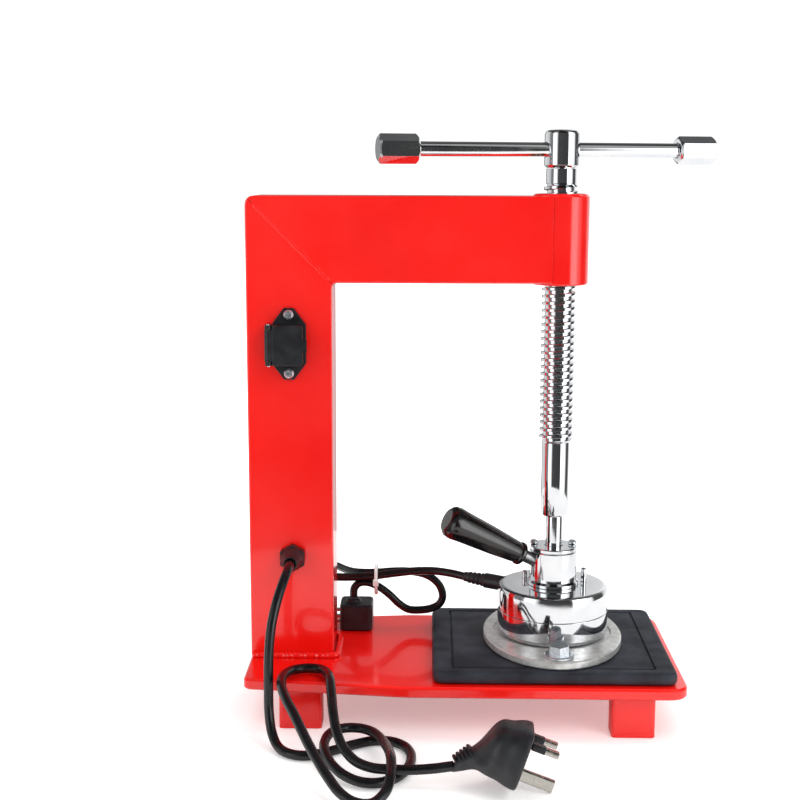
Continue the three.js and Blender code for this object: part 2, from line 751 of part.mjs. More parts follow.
// The moulded relief starts inside the drum wall and tapers towards the lead.
function reliefBody(extra) {
  const inside = drumR - drumWall - 3;
  const r = 5.6 + extra;
  const profile = [[0, inside], [r, inside], [r, drumR + 3]];
  if (extra === 0) {
    profile.push([r, drumR + 13], [4.8, drumR + 14]);
    for (let k = 0; k < 4; k += 1) {
      const from = drumR + 14 + k * 3.4;
      profile.push([4.9 - k * 0.2, from + 0.4], [4.9 - k * 0.2, from + 2], [4.1 - k * 0.15, from + 2.4], [4.1 - k * 0.15, from + 3.4]);
    }
    profile.push([3.7, drumR + reliefLength - 0.6], [3.5, drumR + reliefLength], [0, drumR + reliefLength]);
  } else {
    profile.push([0, drumR + 3]);
  }
  return aimed(turned(profile, 16), [screwX, 0, reliefZ], leadDirection);
}

// ---------- leads ----------
const heaterRoute = [
  [-8.5, 29.8, 84.3], [-17, 33.6, 85.2], [-30, 38.5, 85.6], [-45, 41.5, 84.6], [-60, 43, 82.4], [-75, 44, 80],
  [-90, 44.6, 78.6], [-105, 46, 78], [-118, 49.5, 78], [-130, 56, 77.8], [-137.5, 66, 77.4],
  [-138, 77.5, 76.8], [-130.5, 86.5, 76.2], [-118.5, 89, 75.8], [-108, 83.5, 75.8], [-101, 73.5, 76.2],
  [-94, 63.5, 77.2], [-85, 55.8, 78.8], [-75, 52.4, 80], [-62, 51, 81.5], [-48, 50.5, 81.5],
  [-35.5, 50.2, 78.5], [-27, 50, 71.5], [-24, 50, 62.5], [-26.5, 50, 56], [-33, 50, 52.4], [-41.5, 50, 51],
  [-50.5, 49.9, 51.6], [-57.5, 49.7, 56], [-64.5, 49.4, 63], [-73.5, 49.1, 69.8], [-81.5, 48.8, 73],
  [-88, 48.6, 72.6], [-91.8, 48.5, 68.6], [-92.5, 48.5, 62],
];
const mainsRoute = [
  [-132, -40.5, 113], [-132.2, -51, 112.6], [-134.5, -62, 107], [-138, -71.5, 96], [-141, -77.5, 82],
  [-142.5, -80.5, 67], [-143, -82.5, 52], [-143, -84, 37], [-142.5, -86.5, 22.5], [-140, -92.5, 10.5],
  [-135, -101, 4.5], [-127.5, -109, 3.5], [-117.5, -112.5, 3.5], [-106.5, -109.5, 3.5], [-95.5, -102, 3.5],
  [-84, -93.5, 3.5], [-72, -87.5, 3.5], [-60, -88, 3.5], [-51, -95, 3.5], [-46.5, -106, 3.5],
  [-46, -119.5, 3.5], [-49, -133, 3.5], [-56, -145, 3.5], [-66, -152, 3.5], [-77.5, -153, 4.5],
  [-88, -148, 6.5], [-96.5, -137.5, 9], [-102, -123.5, 11.5], [-103, -109, 12.5], [-99.5, -96, 13],
  [-91, -87.5, 12.5], [-80.5, -86.5, 12], [-72, -92.5, 12], [-66, -104.5, 12.5], [-62, -119.5, 14],
  [-59.5, -135, 16.5], [-58, -150.5, 18], [-58, -165, 14.5], [-61, -177, 9], [-69, -184, 5],
  [-79.5, -183.5, 5.5], [-89, -177.5, 9], [-96.5, -168, 14], [-103.5, -157, 19.5], [-110, -146, 25],
  [-116, -135, 31], [-122, -123.5, 37], [-128, -111, 41.5], [-132.5, -97.5, 44.5], [-134, -83, 45],
  [-133, -69.5, 43.6], [-128.5, -58, 42.2], [-119.3, -53.5, 42], [-110, -56, 42.2], [-104.5, -67, 43.6],
  [-101.5, -81, 44], [-99.5, -95.5, 39.5], [-97.5, -109.5, 33], [-94.5, -122, 25.5], [-89.5, -132.5, 18.5],
  [-81.5, -140.5, 13], [-71, -145.5, 10.8], [-58.5, -148, 10.8], [-45.5, -148.8, 11], [-31.5, -150, 12.6],
  [-18.7, -151.3, 15.1],
];
const heaterSteps = 40;
const mainsSteps = 78;

function heaterLead() {
  piece('lead_relief', solid(reliefBody(0)), blackPlastic);
  piece('heater_lead', solid(cord(heaterRoute, heaterLeadD, heaterSteps)), cable);
  heaterPlug();
  leadTie();
}

function heaterPlug() {
  const [x, y, top] = heaterRoute[heaterRoute.length - 1];
  const low = baseTop + 0.4;
  const bodyHigh = low + 20;
  const body = solid(raised(rectangle(x - 10, x + 15, y - 13, y + 13, 4), low, bodyHigh, 1.5));
  const neck = solid(turned([[0, bodyHigh - 4], [6, bodyHigh - 4], [6, bodyHigh + 1], [4.6, top - 1], [0, top - 1]], 24, x, y));
  piece('heater_plug', body.add(neck), blackPlastic);
  for (const [name, across, high] of [['heater_plug_pin_front', -6, 6], ['heater_plug_pin_rear', 6, 6], ['heater_plug_pin_earth', 0, 13]]) {
    const face = x - 10 - gap;
    piece(name, block(face - 15, face, y + across - 1.9, y + across + 1.9, low + high - 1, low + high + 1), brass);
  }
}

// A nylon tie round the three strands where they cross.
function leadTie() {
  const [x, y, z] = [-75, 48.3, 76];
  const wide = 1.4;
  const half = { y: 10, z: 12 };
  const band = new THREE.Shape();
  band.absellipse(0, 0, half.y, half.z, 0, 2 * Math.PI);
  const hole = new THREE.Path();
  hole.absellipse(0, 0, half.y - 1.1, half.z - 1.1, 0, 2 * Math.PI, true);
  band.holes.push(hole);
  const ring = new THREE.ExtrudeGeometry(band, { depth: 2 * wide, bevelEnabled: false, curveSegments: 16 });
  ring.translate(0, 0, -wide);
  ring.rotateX(Math.PI / 2);
  ring.rotateZ(Math.PI / 2);
  const head = block(-2.2, 2.2, -half.y - 2.6, -half.y + 0.6, -2.5, 2.5);
  piece('lead_tie', solid(ring).add(solid(head)).translate([x, y, z]), whiteNylon);
}

// The moulded plug lies on the lower edge of its face, the far corner of its body and its earth pin.
const plugFace = [26, -152, 21.8]; // the middle of the pin face
const plugRoll = -9;
const plugPitch = 19; // the pins point down by this much
const plugYaw = -6;
const plugDepth = 24;
const bootReach = [-40, 0, -20]; // where the boot ends, from the middle of the pin face
const bootLength = 25;

function mainsPlug() {
  const plug = new THREE.Group();
  plug.position.set(...plugFace);
  plug.rotation.set(radians(plugRoll), radians(plugPitch), radians(plugYaw), 'ZYX');
  press.add(plug);
  const outline = rounded([[-21, -19, 7], [21, -19, 7], [24, 4, 12], [20, 20, 9], [-20, 20, 9], [-24, 4, 12]]);
  const body = raised(outline, 0, plugDepth, 2.5);
  body.rotateX(Math.PI / 2);
  body.rotateZ(Math.PI / 2);
  body.translate(-plugDepth, 0, 0);
  const tail = turned([
    [0, 0], [4.6, 0], [5.2, 4], [7, 12], [8.5, 19], [9, bootLength], [0, bootLength],
  ], 28);
  const entry = aimed(tail, bootReach, new THREE.Vector3(0.86, 0, 0.51));
  piece('mains_plug', solid(body).add(solid(entry)), blackPlastic, plug);
  const pins = [
    ['plug_pin_earth', 0, -11.1, 22.7, 4, 8],
    ['plug_pin_line', -11.1, 11.1, 17.7, 6.3, 4],
    ['plug_pin_neutral', 11.1, 11.1, 17.7, 6.3, 4],
  ];
  for (const [name, y, z, long, wide, high] of pins) {
    const pin = raised(rectangle(-wide / 2, wide / 2, -high / 2, high / 2, 1.2), 0, long, 0.5);
    pin.rotateX(Math.PI / 2);
    pin.rotateZ(Math.PI / 2);
    pin.translate(gap, y, z);
    piece(name, solid(pin), brass, plug);
  }
}

function mainsLead() {
  piece('mains_lead', solid(cord(mainsRoute, mainsLeadD, mainsSteps)), cable);
  mainsPlug();
}

function gland() {
  const forward = new THREE.Vector3(0, -1, 0);
  const place = [glandX, columnFront, glandZ];
  const hex = solid(raised(regular(6, 17), gap, 7));
  const stem = solid(turned([
    [0, -8], [glandR, -8], [glandR, gap + 0.2], [8.2, gap + 0.2], [8.2, 9], [7.4, 12], [6.2, 14.5], [5, 20], [0, 20],
  ], 32));
  const bore = solid(rod(mainsLeadD / 2 + 0.5, -9, 21, 0, 0, 20));
  piece('lead_gland', solid(aimed(toGeometry(hex.add(stem).subtract(bore)), place, forward)), blackPlastic);
  const nut = solid(raised(regular(6, 19), -tubeWall - gap - 4, -tubeWall - gap));
  const nutHole = solid(rod(glandR + gap, -12, 0, 0, 0, 24));
  piece('gland_nut', solid(aimed(toGeometry(nut.subtract(nutHole)), place, forward)), blackPlastic);
  const inner = cord([
    [glandX, -10, glandZ], [glandX, -3, glandZ + 3], [glandX, 0, glandZ + 14], [glandX, 1, glandZ + 60],
    [socketX, 1, socketZ - 60], [socketX, -1, socketZ - 22], [socketX, -3.4, socketZ - 6], [socketX, -3.4, socketZ + 2],
  ], 5, 20);
  piece('column_loom', solid(inner), cable);
}

// ---------- outlet for the heater plug ----------
const lidFrontY = columnFront - gap - flangeThick - bodyOut - gap;
const hingeX = socketX - lidWide / 2 - 2.6;
const hingeY = lidFrontY + 0.4;
const hingeR = 2.7;
const earR = 2.4;
const pinR = 1.1;

function outlet() {
  const back = columnFront - gap;
  const flange = rounded([
    [-3.5, flangeHigh / 2, 1.5], [-flangeWide / 2, 13.5, 2], [-flangeWide / 2, -13.5, 2],
    [-3.5, -flangeHigh / 2, 1.5], [3.5, -flangeHigh / 2, 1.5], [flangeWide / 2, -13.5, 2],
    [flangeWide / 2, 13.5, 2], [3.5, flangeHigh / 2, 1.5],
  ]);
  let body = solid(acrossY(flange, back - flangeThick, back, 0.5));
  const raisedBox = rectangle(-lidWide / 2 + 1, lidWide / 2 - 1, -lidHigh / 2 + 1, lidHigh / 2 - 1, 2);
  body = body.add(solid(acrossY(raisedBox, back - flangeThick - bodyOut, back + tubeWall + 10)));
  // two ears that carry the hinge pin
  for (const side of [-1, 1]) {
    const z0 = side > 0 ? lidHigh / 2 - 3 : -lidHigh / 2;
    const arm = block(hingeX - socketX - earR, -lidWide / 2 + 3, hingeY, back - 1, z0, z0 + 3);
    const eye = rod(earR, z0, z0 + 3, hingeX - socketX, hingeY, 20);
    body = body.add(solid(arm)).add(solid(eye));
  }
  const contacts = [['outlet_contact_line', -5, -3], ['outlet_contact_neutral', 5, -3], ['outlet_contact_earth', 0, 5]];
  for (const [, x, z] of contacts) {
    body = body.subtract(solid(block(x - 1.3, x + 1.3, back - flangeThick - bodyOut - 1, back + 4, z - 2.6, z + 2.6)));
  }
  for (const side of [-1, 1]) {
    const hole = aimed(rod(1.8 + gap, -8, 8, 0, 0, 16), [0, back, side * screwSpan], new THREE.Vector3(0, -1, 0));
    body = body.subtract(solid(hole));
  }
  const pinHole = rod(pinR + gap, -lidHigh, lidHigh, hingeX - socketX, hingeY, 16);
  body = body.subtract(solid(pinHole));
  piece('outlet_body', body.translate([socketX, 0, socketZ]), blackPlastic);
  for (const [name, x, z] of contacts) {
    const blade = block(x - 0.9, x + 0.9, back - 4, back + 3.5, z - 2.2, z + 2.2);
    piece(name, blade.translate(socketX, 0, socketZ), brass);
  }
  for (const [name, side] of [['outlet_screw_top', 1], ['outlet_screw_bottom', -1]]) {
    piece(name, outletScrew(side), zinc);
  }
}

// A pan head with a cross recess.
function outletScrew(side) {
  const seat = gap + flangeThick + gap;
  const head = solid(turned([
    [0, -1], [1.8, -1], [1.8, seat], [3.5, seat], [3.5, seat + 1], [2.6, seat + 2.1], [0, seat + 2.4],
  ], 24));
  const slotA = solid(block(-2, 2, -0.45, 0.45, seat + 1, seat + 4));
  const slotB = solid(block(-0.45, 0.45, -2, 2, seat + 1, seat + 4));
  const shape = toGeometry(head.subtract(slotA).subtract(slotB));
  return solid(aimed(shape, [socketX, columnFront, socketZ + side * screwSpan], new THREE.Vector3(0, -1, 0)));
}

function outletLid() {
  const front = lidFrontY;
  const cover = rounded([
    [-lidWide / 2 + 0.2, -lidHigh / 2, 1.5], [lidWide / 2, -lidHigh / 2, 3], [lidWide / 2, lidHigh / 2, 3], [-lidWide / 2 + 0.2, lidHigh / 2, 1.5],
  ]);
  const tab = block(lidWide / 2 - 1, lidWide / 2 + 2.6, front - lidThick, front - 0.8, -4.5, 4.5);
  const barrelHalf = lidHigh / 2 - 3 - gap;
  const arm = block(hingeX - socketX, -lidWide / 2 + 2, front - 2.2, front - 0.2, -barrelHalf, barrelHalf);
  const barrel = rod(hingeR, -barrelHalf, barrelHalf, hingeX - socketX, hingeY, 24);
  const bore = rod(pinR + gap, -barrelHalf - 1, barrelHalf + 1, hingeX - socketX, hingeY, 16);
  let lid = solid(acrossY(cover, front - lidThick, front, 0.6));
  lid = lid.add(solid(tab)).add(solid(arm)).add(solid(barrel)).subtract(solid(bore));
  piece('outlet_lid', lid.translate([socketX, 0, socketZ]), blackPlastic);
  const pin = rod(pinR, socketZ - lidHigh / 2 - 0.8, socketZ + lidHigh / 2 + 0.8, hingeX, hingeY, 16);
  piece('lid_hinge_pin', solid(pin), zinc);
}

basePlate();
feet();
frameTubes();
columnWeld();
bossAndNut();
benchPad();
spindle();
handleHub();
tommyBar();
thrustBall();
collar();
keeper();
grip();
heatingPlate();
plateBolts();
drumBowl();
drumCover();
coverStuds();
headInternals();
heaterLead();
mainsLead();
gland();
outlet();
outletLid();

export default press;
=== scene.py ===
"""Looks of the bench spot vulcanising press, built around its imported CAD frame."""
import json
import math
import random

import bmesh
import bpy
from mathutils import Matrix, Vector

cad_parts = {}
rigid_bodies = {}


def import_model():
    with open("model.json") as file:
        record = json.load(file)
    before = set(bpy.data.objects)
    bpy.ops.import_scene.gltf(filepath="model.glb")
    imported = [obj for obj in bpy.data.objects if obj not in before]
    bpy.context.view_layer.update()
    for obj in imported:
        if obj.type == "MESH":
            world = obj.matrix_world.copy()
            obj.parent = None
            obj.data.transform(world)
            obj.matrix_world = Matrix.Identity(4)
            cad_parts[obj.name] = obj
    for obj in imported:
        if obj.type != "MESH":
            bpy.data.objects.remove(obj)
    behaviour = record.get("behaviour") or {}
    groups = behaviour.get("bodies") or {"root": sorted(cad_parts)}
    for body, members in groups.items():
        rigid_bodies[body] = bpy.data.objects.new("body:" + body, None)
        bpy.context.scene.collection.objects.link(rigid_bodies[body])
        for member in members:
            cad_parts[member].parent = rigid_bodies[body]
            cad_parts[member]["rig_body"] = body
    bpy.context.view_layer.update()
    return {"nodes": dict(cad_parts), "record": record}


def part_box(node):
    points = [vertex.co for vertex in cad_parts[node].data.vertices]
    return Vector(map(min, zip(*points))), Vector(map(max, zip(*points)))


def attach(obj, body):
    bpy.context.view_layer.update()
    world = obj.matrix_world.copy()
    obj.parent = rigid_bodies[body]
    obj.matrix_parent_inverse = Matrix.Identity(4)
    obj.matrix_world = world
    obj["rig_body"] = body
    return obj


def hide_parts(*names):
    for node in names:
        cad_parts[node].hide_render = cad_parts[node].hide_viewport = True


MM = 0.001

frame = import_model()
nodes = frame["nodes"]

# ---------- places taken from the frame ----------
column_low, column_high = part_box("column")
nut_low, nut_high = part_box("nut_boss")
spindle_low, spindle_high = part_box("spindle")
tie_low, tie_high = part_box("lead_tie")
weld_low, weld_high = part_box("column_weld")
hub_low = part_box("handle_hub")[0]
screw_x = (nut_low.x + nut_high.x) / 2
screw_y = (nut_low.y + nut_high.y) / 2

# The leads follow the same points as their CAD tubes, in metres.
HEATER_ROUTE = [
    (-0.0085, 0.0298, 0.0843), (-0.017, 0.0336, 0.0852), (-0.03, 0.0385, 0.0856), (-0.045, 0.0415, 0.0846),
    (-0.06, 0.043, 0.0824), (-0.075, 0.044, 0.08), (-0.09, 0.0446, 0.0786), (-0.105, 0.046, 0.078),
    (-0.118, 0.0495, 0.078), (-0.13, 0.056, 0.0778), (-0.1375, 0.066, 0.0774), (-0.138, 0.0775, 0.0768),
    (-0.1305, 0.0865, 0.0762), (-0.1185, 0.089, 0.0758), (-0.108, 0.0835, 0.0758), (-0.101, 0.0735, 0.0762),
    (-0.094, 0.0635, 0.0772), (-0.085, 0.0558, 0.0788), (-0.075, 0.0524, 0.08), (-0.062, 0.051, 0.0815),
    (-0.048, 0.0505, 0.0815), (-0.0355, 0.0502, 0.0785), (-0.027, 0.05, 0.0715), (-0.024, 0.05, 0.0625),
    (-0.0265, 0.05, 0.056), (-0.033, 0.05, 0.0524), (-0.0415, 0.05, 0.051), (-0.0505, 0.0499, 0.0516),
    (-0.0575, 0.0497, 0.056), (-0.0645, 0.0494, 0.063), (-0.0735, 0.0491, 0.0698), (-0.0815, 0.0488, 0.073),
    (-0.088, 0.0486, 0.0726), (-0.0918, 0.0485, 0.0686), (-0.0925, 0.0485, 0.062),
]
MAINS_ROUTE = [
    (-0.132, -0.0405, 0.113), (-0.1322, -0.051, 0.1126), (-0.1345, -0.062, 0.107), (-0.138, -0.0715, 0.096),
    (-0.141, -0.0775, 0.082), (-0.1425, -0.0805, 0.067), (-0.143, -0.0825, 0.052), (-0.143, -0.084, 0.037),
    (-0.1425, -0.0865, 0.0225), (-0.14, -0.0925, 0.0105), (-0.135, -0.101, 0.0045), (-0.1275, -0.109, 0.0035),
    (-0.1175, -0.1125, 0.0035), (-0.1065, -0.1095, 0.0035), (-0.0955, -0.102, 0.0035),
    (-0.084, -0.0935, 0.0035), (-0.072, -0.0875, 0.0035), (-0.06, -0.088, 0.0035), (-0.051, -0.095, 0.0035),
    (-0.0465, -0.106, 0.0035), (-0.046, -0.1195, 0.0035), (-0.049, -0.133, 0.0035), (-0.056, -0.145, 0.0035),
    (-0.066, -0.152, 0.0035), (-0.0775, -0.153, 0.0045), (-0.088, -0.148, 0.0065), (-0.0965, -0.1375, 0.009),
    (-0.102, -0.1235, 0.0115), (-0.103, -0.109, 0.0125), (-0.0995, -0.096, 0.013), (-0.091, -0.0875, 0.0125),
    (-0.0805, -0.0865, 0.012), (-0.072, -0.0925, 0.012), (-0.066, -0.1045, 0.0125), (-0.062, -0.1195, 0.014),
    (-0.0595, -0.135, 0.0165), (-0.058, -0.1505, 0.018), (-0.058, -0.165, 0.0145), (-0.061, -0.177, 0.009),
    (-0.069, -0.184, 0.005), (-0.0795, -0.1835, 0.0055), (-0.089, -0.1775, 0.009), (-0.0965, -0.168, 0.014),
    (-0.1035, -0.157, 0.0195), (-0.11, -0.146, 0.025), (-0.116, -0.135, 0.031), (-0.122, -0.1235, 0.037),
    (-0.128, -0.111, 0.0415), (-0.1325, -0.0975, 0.0445), (-0.134, -0.083, 0.045), (-0.133, -0.0695, 0.0436),
    (-0.1285, -0.058, 0.0422), (-0.1193, -0.0535, 0.042), (-0.11, -0.056, 0.0422), (-0.1045, -0.067, 0.0436),
    (-0.1015, -0.081, 0.044), (-0.0995, -0.0955, 0.0395), (-0.0975, -0.1095, 0.033),
    (-0.0945, -0.122, 0.0255),
    (-0.0895, -0.1325, 0.0185), (-0.0815, -0.1405, 0.013), (-0.071, -0.1455, 0.0108),
    (-0.0585, -0.148, 0.0108), (-0.0455, -0.1488, 0.011), (-0.0315, -0.15, 0.0126),
    (-0.0187, -0.1513, 0.0151),
]
HEATER_LEAD_D = 0.006
MAINS_LEAD_D = 0.0066


# ---------- camera, light and floor ----------
EYE = (-0.036, -0.963, 0.384)
LOOKS_DOWN, TURNED_LEFT, ROLL = math.radians(9.47), math.radians(1.2), math.radians(0.15)


def camera():
    """A long lens in front of the press, a little above it and looking slightly down."""
    data = bpy.data.cameras.new("camera")
    data.lens = 61.5
    data.sensor_width = 36
    data.clip_start = 0.01
    eye = bpy.data.objects.new("camera", data)
    turn = Matrix.Rotation(TURNED_LEFT, 4, "Z") @ Matrix.Rotation(math.pi / 2 - LOOKS_DOWN, 4, "X")
    eye.matrix_world = Matrix.Translation(EYE) @ turn @ Matrix.Rotation(ROLL, 4, "Z")
    bpy.context.scene.collection.objects.link(eye)
    bpy.context.scene.camera = eye


LIT_POINT = Vector((0, 0, 0.2))


def soft_box(name, place, size, power):
    """A large box of light aimed at the press. It lights the press, and bright metal doesn't mirror it."""
    data = bpy.data.lights.new(name, "AREA")
    data.shape = "RECTANGLE"
    data.size, data.size_y = size
    data.energy = power
    light = bpy.data.objects.new(name, data)
    light.location = place
    light.visible_glossy = False
    light.rotation_euler = (LIT_POINT - Vector(place)).to_track_quat("-Z", "Y").to_euler()
    bpy.context.scene.collection.objects.link(light)


def studio():
    """Soft boxes, and a world that is white to the eye. Bright metal mirrors a dim room with pale panels."""
    soft_box("key_box", (0.9, -1.1, 1.3), (0.7, 1.0), 10)
    soft_box("fill_box", (-1.2, -0.9, 0.8), (0.8, 1.0), 4.5)
    soft_box("top_box", (0.0, 0.2, 1.7), (1.2, 1.0), 8)
    soft_box("back_box", (0.5, 1.4, 0.9), (1.2, 0.8), 5)
    world = bpy.data.worlds.new("studio")
    bpy.context.scene.world = world
    world.use_nodes = True
    tree = world.node_tree
    tree.nodes.clear()
    where = add(tree, "ShaderNodeTexCoord")
    split = add(tree, "ShaderNodeSeparateXYZ", {0: where.outputs["Generated"]})
    angle = add(
        tree, "ShaderNodeMath", {0: split.outputs["Y"], 1: split.outputs["X"]}, operation="ARCTAN2",
    )
    turns = add(tree, "ShaderNodeMath", {0: angle.outputs[0], 1: 2 * math.pi}, operation="DIVIDE")
    share = add(tree, "ShaderNodeMath", {0: turns.outputs[0], 1: 0.5}, operation="ADD")
    stripes = add(tree, "ShaderNodeValToRGB", {0: share.outputs[0]})
    ramp = stripes.color_ramp
    marks = STUDIO_STRIPES
    ramp.elements[0].position, ramp.elements[1].position = marks[0][0], marks[-1][0]
    ramp.elements[0].color = grey(marks[0][1])
    ramp.elements[1].color = grey(marks[-1][1])
    for place, level in marks[1:-1]:
        ramp.elements.new(place).color = grey(level)
    ceiling = add(tree, "ShaderNodeMapRange", {
        0: split.outputs["Z"], 1: CEILING_STARTS, 2: CEILING_ENDS, 3: 1.0, 4: CEILING_LEVEL,
    })
    room = add(
        tree, "ShaderNodeMix", {0: 1.0, 6: stripes.outputs[0], 7: ceiling.outputs[0]},
        data_type="RGBA", blend_type="MULTIPLY",
    )
    ray = add(tree, "ShaderNodeLightPath")
    mirrored = add(
        tree, "ShaderNodeMix", {0: ray.outputs["Is Glossy Ray"], 6: grey(AMBIENT_LEVEL), 7: room.outputs[2]},
        data_type="RGBA",
    )
    pick = add(
        tree, "ShaderNodeMix",
        {0: ray.outputs["Is Camera Ray"], 6: mirrored.outputs[2], 7: grey(BACKDROP_LEVEL)},
        data_type="RGBA",
    )
    light = add(tree, "ShaderNodeBackground", {0: pick.outputs[2], 1: 1.0})
    add(tree, "ShaderNodeOutputWorld", {0: light.outputs[0]})


# Round the room, from the left through the operator's side to the right and back: share of a turn, level.
STUDIO_STRIPES = [
    (0.0, 0.25), (0.06, 0.2), (0.075, 1.6), (0.13, 1.6), (0.165, 0.07), (0.35, 0.05), (0.37, 3.5),
    (0.43, 3.5), (0.45, 1.2), (0.48, 1.1), (0.50, 0.08), (0.58, 0.08), (0.61, 0.9), (0.72, 1.0), (0.75, 0.3),
    (0.83, 0.3), (0.86, 0.9), (1.0, 0.6),
]
AMBIENT_LEVEL = 0.8
BACKDROP_LEVEL = 1.1
# The mirrored room darkens overhead, between these two heights of the view direction.
CEILING_STARTS, CEILING_ENDS, CEILING_LEVEL = 0.35, 0.5, 0.12

FLOOR_RADIUS, TABLE_RADIUS = 7, 0.48
# To the eye the floor glows a little near the press, and turns as white as the backdrop further out.
GLOW_NEAR, GLOW_FAR = (0.2, 0.3), (0.8, 1.1)  # distance, strength


def floor():
    """A pale seamless table top. Bright metal mirrors its middle, and the dim room beyond it."""
    mat, tree, shader = finish("seamless_paper", "F4F4F3", 0.75)
    ray = add(tree, "ShaderNodeLightPath")
    far = add(tree, "ShaderNodeVectorMath", {0: place_in(tree)}, operation="LENGTH")
    glow = add(tree, "ShaderNodeMapRange", {
        0: far.outputs["Value"], 1: GLOW_NEAR[0], 2: GLOW_FAR[0], 3: GLOW_NEAR[1], 4: GLOW_FAR[1],
    })
    seen = add(
        tree, "ShaderNodeMath", {0: ray.outputs["Is Camera Ray"], 1: glow.outputs[0]}, operation="MULTIPLY",
    )
    shader.inputs["Emission Color"].default_value = grey(1)
    tree.links.new(seen.outputs[0], shader.inputs["Emission Strength"])
    for name, radius, depth, mirrored in (
        ("studio_floor", FLOOR_RADIUS, 0.0004, False), ("studio_table", TABLE_RADIUS, 0.0002, True),
    ):
        bpy.ops.mesh.primitive_circle_add(
            vertices=96, radius=radius, fill_type="NGON", location=(0, 0, -depth),
        )
        top = bpy.context.object
        top.name = name
        top.visible_glossy = mirrored
        top.data.materials.append(mat)


# ---------- materials ----------
def linear(hex_colour):
    """An sRGB hex value as a linear colour."""
    parts = [int(hex_colour[i:i + 2], 16) / 255 for i in (0, 2, 4)]
    return tuple(p / 12.92 if p <= 0.04045 else ((p + 0.055) / 1.055) ** 2.4 for p in parts) + (1.0,)


def grey(level):
    return (level, level, level, 1.0)


def add(tree, kind, inputs=None, **settings):
    """Adds a node with its settings, and sets or links its inputs."""
    made = tree.nodes.new(kind)
    for name, value in settings.items():
        setattr(made, name, value)
    for socket, value in (inputs or {}).items():
        if isinstance(value, bpy.types.NodeSocket):
            tree.links.new(value, made.inputs[socket])
        else:
            made.inputs[socket].default_value = value
    return made


def finish(name, colour, roughness, metallic=0.0, ior=1.5):
    """A material with one surface shader."""
    mat = bpy.data.materials.new(name)
    mat.use_nodes = True
    tree = mat.node_tree
    tree.nodes.clear()
    shader = add(tree, "ShaderNodeBsdfPrincipled", {
        "Base Color": linear(colour), "Roughness": roughness, "Metallic": metallic, "IOR": ior,
    })
    add(tree, "ShaderNodeOutputMaterial", {0: shader.outputs[0]})
    return mat, tree, shader


def place_in(tree):
    return add(tree, "ShaderNodeTexCoord").outputs["Object"]


def mottle(tree, shader, colours, period_mm, spread=(0.35, 0.65), detail=3.0):
    """Varies the base colour between two close shades, with patches of the given size."""
    noise = add(tree, "ShaderNodeTexNoise", {
        0: place_in(tree), "Scale": 1 / (period_mm * MM), "Detail": detail,
    })
    ramp = add(tree, "ShaderNodeValToRGB", {0: noise.outputs[0]})
    for element, position, colour in zip(ramp.color_ramp.elements, spread, colours):
        element.position = position
        element.color = linear(colour)
    tree.links.new(ramp.outputs[0], shader.inputs["Base Color"])


def uneven_gloss(tree, shader, low, high, period_mm):
    """Lets the roughness wander between two values, as handling and polishing leave it."""
    noise = add(tree, "ShaderNodeTexNoise", {0: place_in(tree), "Scale": 1 / (period_mm * MM), "Detail": 4.0})
    spread = add(tree, "ShaderNodeMapRange", {0: noise.outputs[0], 1: 0.3, 2: 0.7, 3: low, 4: high})
    tree.links.new(spread.outputs[0], shader.inputs["Roughness"])


def grain(tree, shader, period_mm, depth_mm, strength=1.0, stretch=(1, 1, 1)):
    """A fine surface relief of the given spacing and depth."""
    scaled = add(tree, "ShaderNodeMapping", {0: place_in(tree), "Scale": stretch})
    noise = add(tree, "ShaderNodeTexNoise", {
        0: scaled.outputs[0], "Scale": 1 / (period_mm * MM), "Detail": 2.0,
    })
    bump = add(tree, "ShaderNodeBump", {
        "Strength": strength, "Distance": depth_mm * MM, "Height": noise.outputs[0],
    })
    tree.links.new(bump.outputs[0], shader.inputs["Normal"])


def gloss_enamel():
    """Sprayed and baked gloss enamel on steel: deep colour, a wet shine and a faint orange-peel ripple."""
    mat, tree, shader = finish("gloss_enamel", "F0140E", 0.22)
    mottle(tree, shader, ("EB0F0A", "F61A12"), 90)
    uneven_gloss(tree, shader, 0.16, 0.27, 35)
    grain(tree, shader, 2.6, 0.012)  # the spray's ripple
    shader.inputs["Coat Weight"].default_value = 0.6
    shader.inputs["Coat Roughness"].default_value = 0.06
    return mat


def chromium_plate():
    """Polished steel under bright chromium: nearly a mirror, slightly blue, with a fine polishing haze."""
    mat, tree, shader = finish("chromium_plate", "E4E6E9", 0.07, 1.0)
    mottle(tree, shader, ("DEE1E5", "ECEDEF"), 25)
    uneven_gloss(tree, shader, 0.04, 0.11, 12)
    grain(tree, shader, 9, 0.012)  # long soft waves left by the polishing wheel
    return mat


def cast_aluminium():
    """Cast aluminium with a machined top: pale grey, dull shine and a fine open grain."""
    mat, tree, shader = finish("cast_aluminium", "DADAD8", 0.42, 0.65)
    mottle(tree, shader, ("CFCFCD", "E8E8E6"), 5)
    uneven_gloss(tree, shader, 0.28, 0.46, 3)
    grain(tree, shader, 0.9, 0.05)  # cast grain, drawn a little coarse so that it shows
    return mat


def moulded_rubber():
    """Compression-moulded nitrile rubber: dark slate, matt, with a dusty bloom and a fine matt texture."""
    mat, tree, shader = finish("moulded_rubber", "252830", 0.66, 0.0, 1.5)
    mottle(tree, shader, ("1E2129", "30343D"), 22)
    uneven_gloss(tree, shader, 0.5, 0.72, 14)
    grain(tree, shader, 0.8, 0.06)  # the mould's fine matt texture
    return mat


def polished_phenolic():
    """Moulded phenolic resin, buffed: jet black, with a deep sharp shine and a trace of brown filler."""
    mat, tree, shader = finish("polished_phenolic", "0B0909", 0.16, 0.0, 1.63)
    mottle(tree, shader, ("080707", "140C0B"), 6)
    uneven_gloss(tree, shader, 0.12, 0.24, 10)
    grain(tree, shader, 4, 0.01)
    return mat


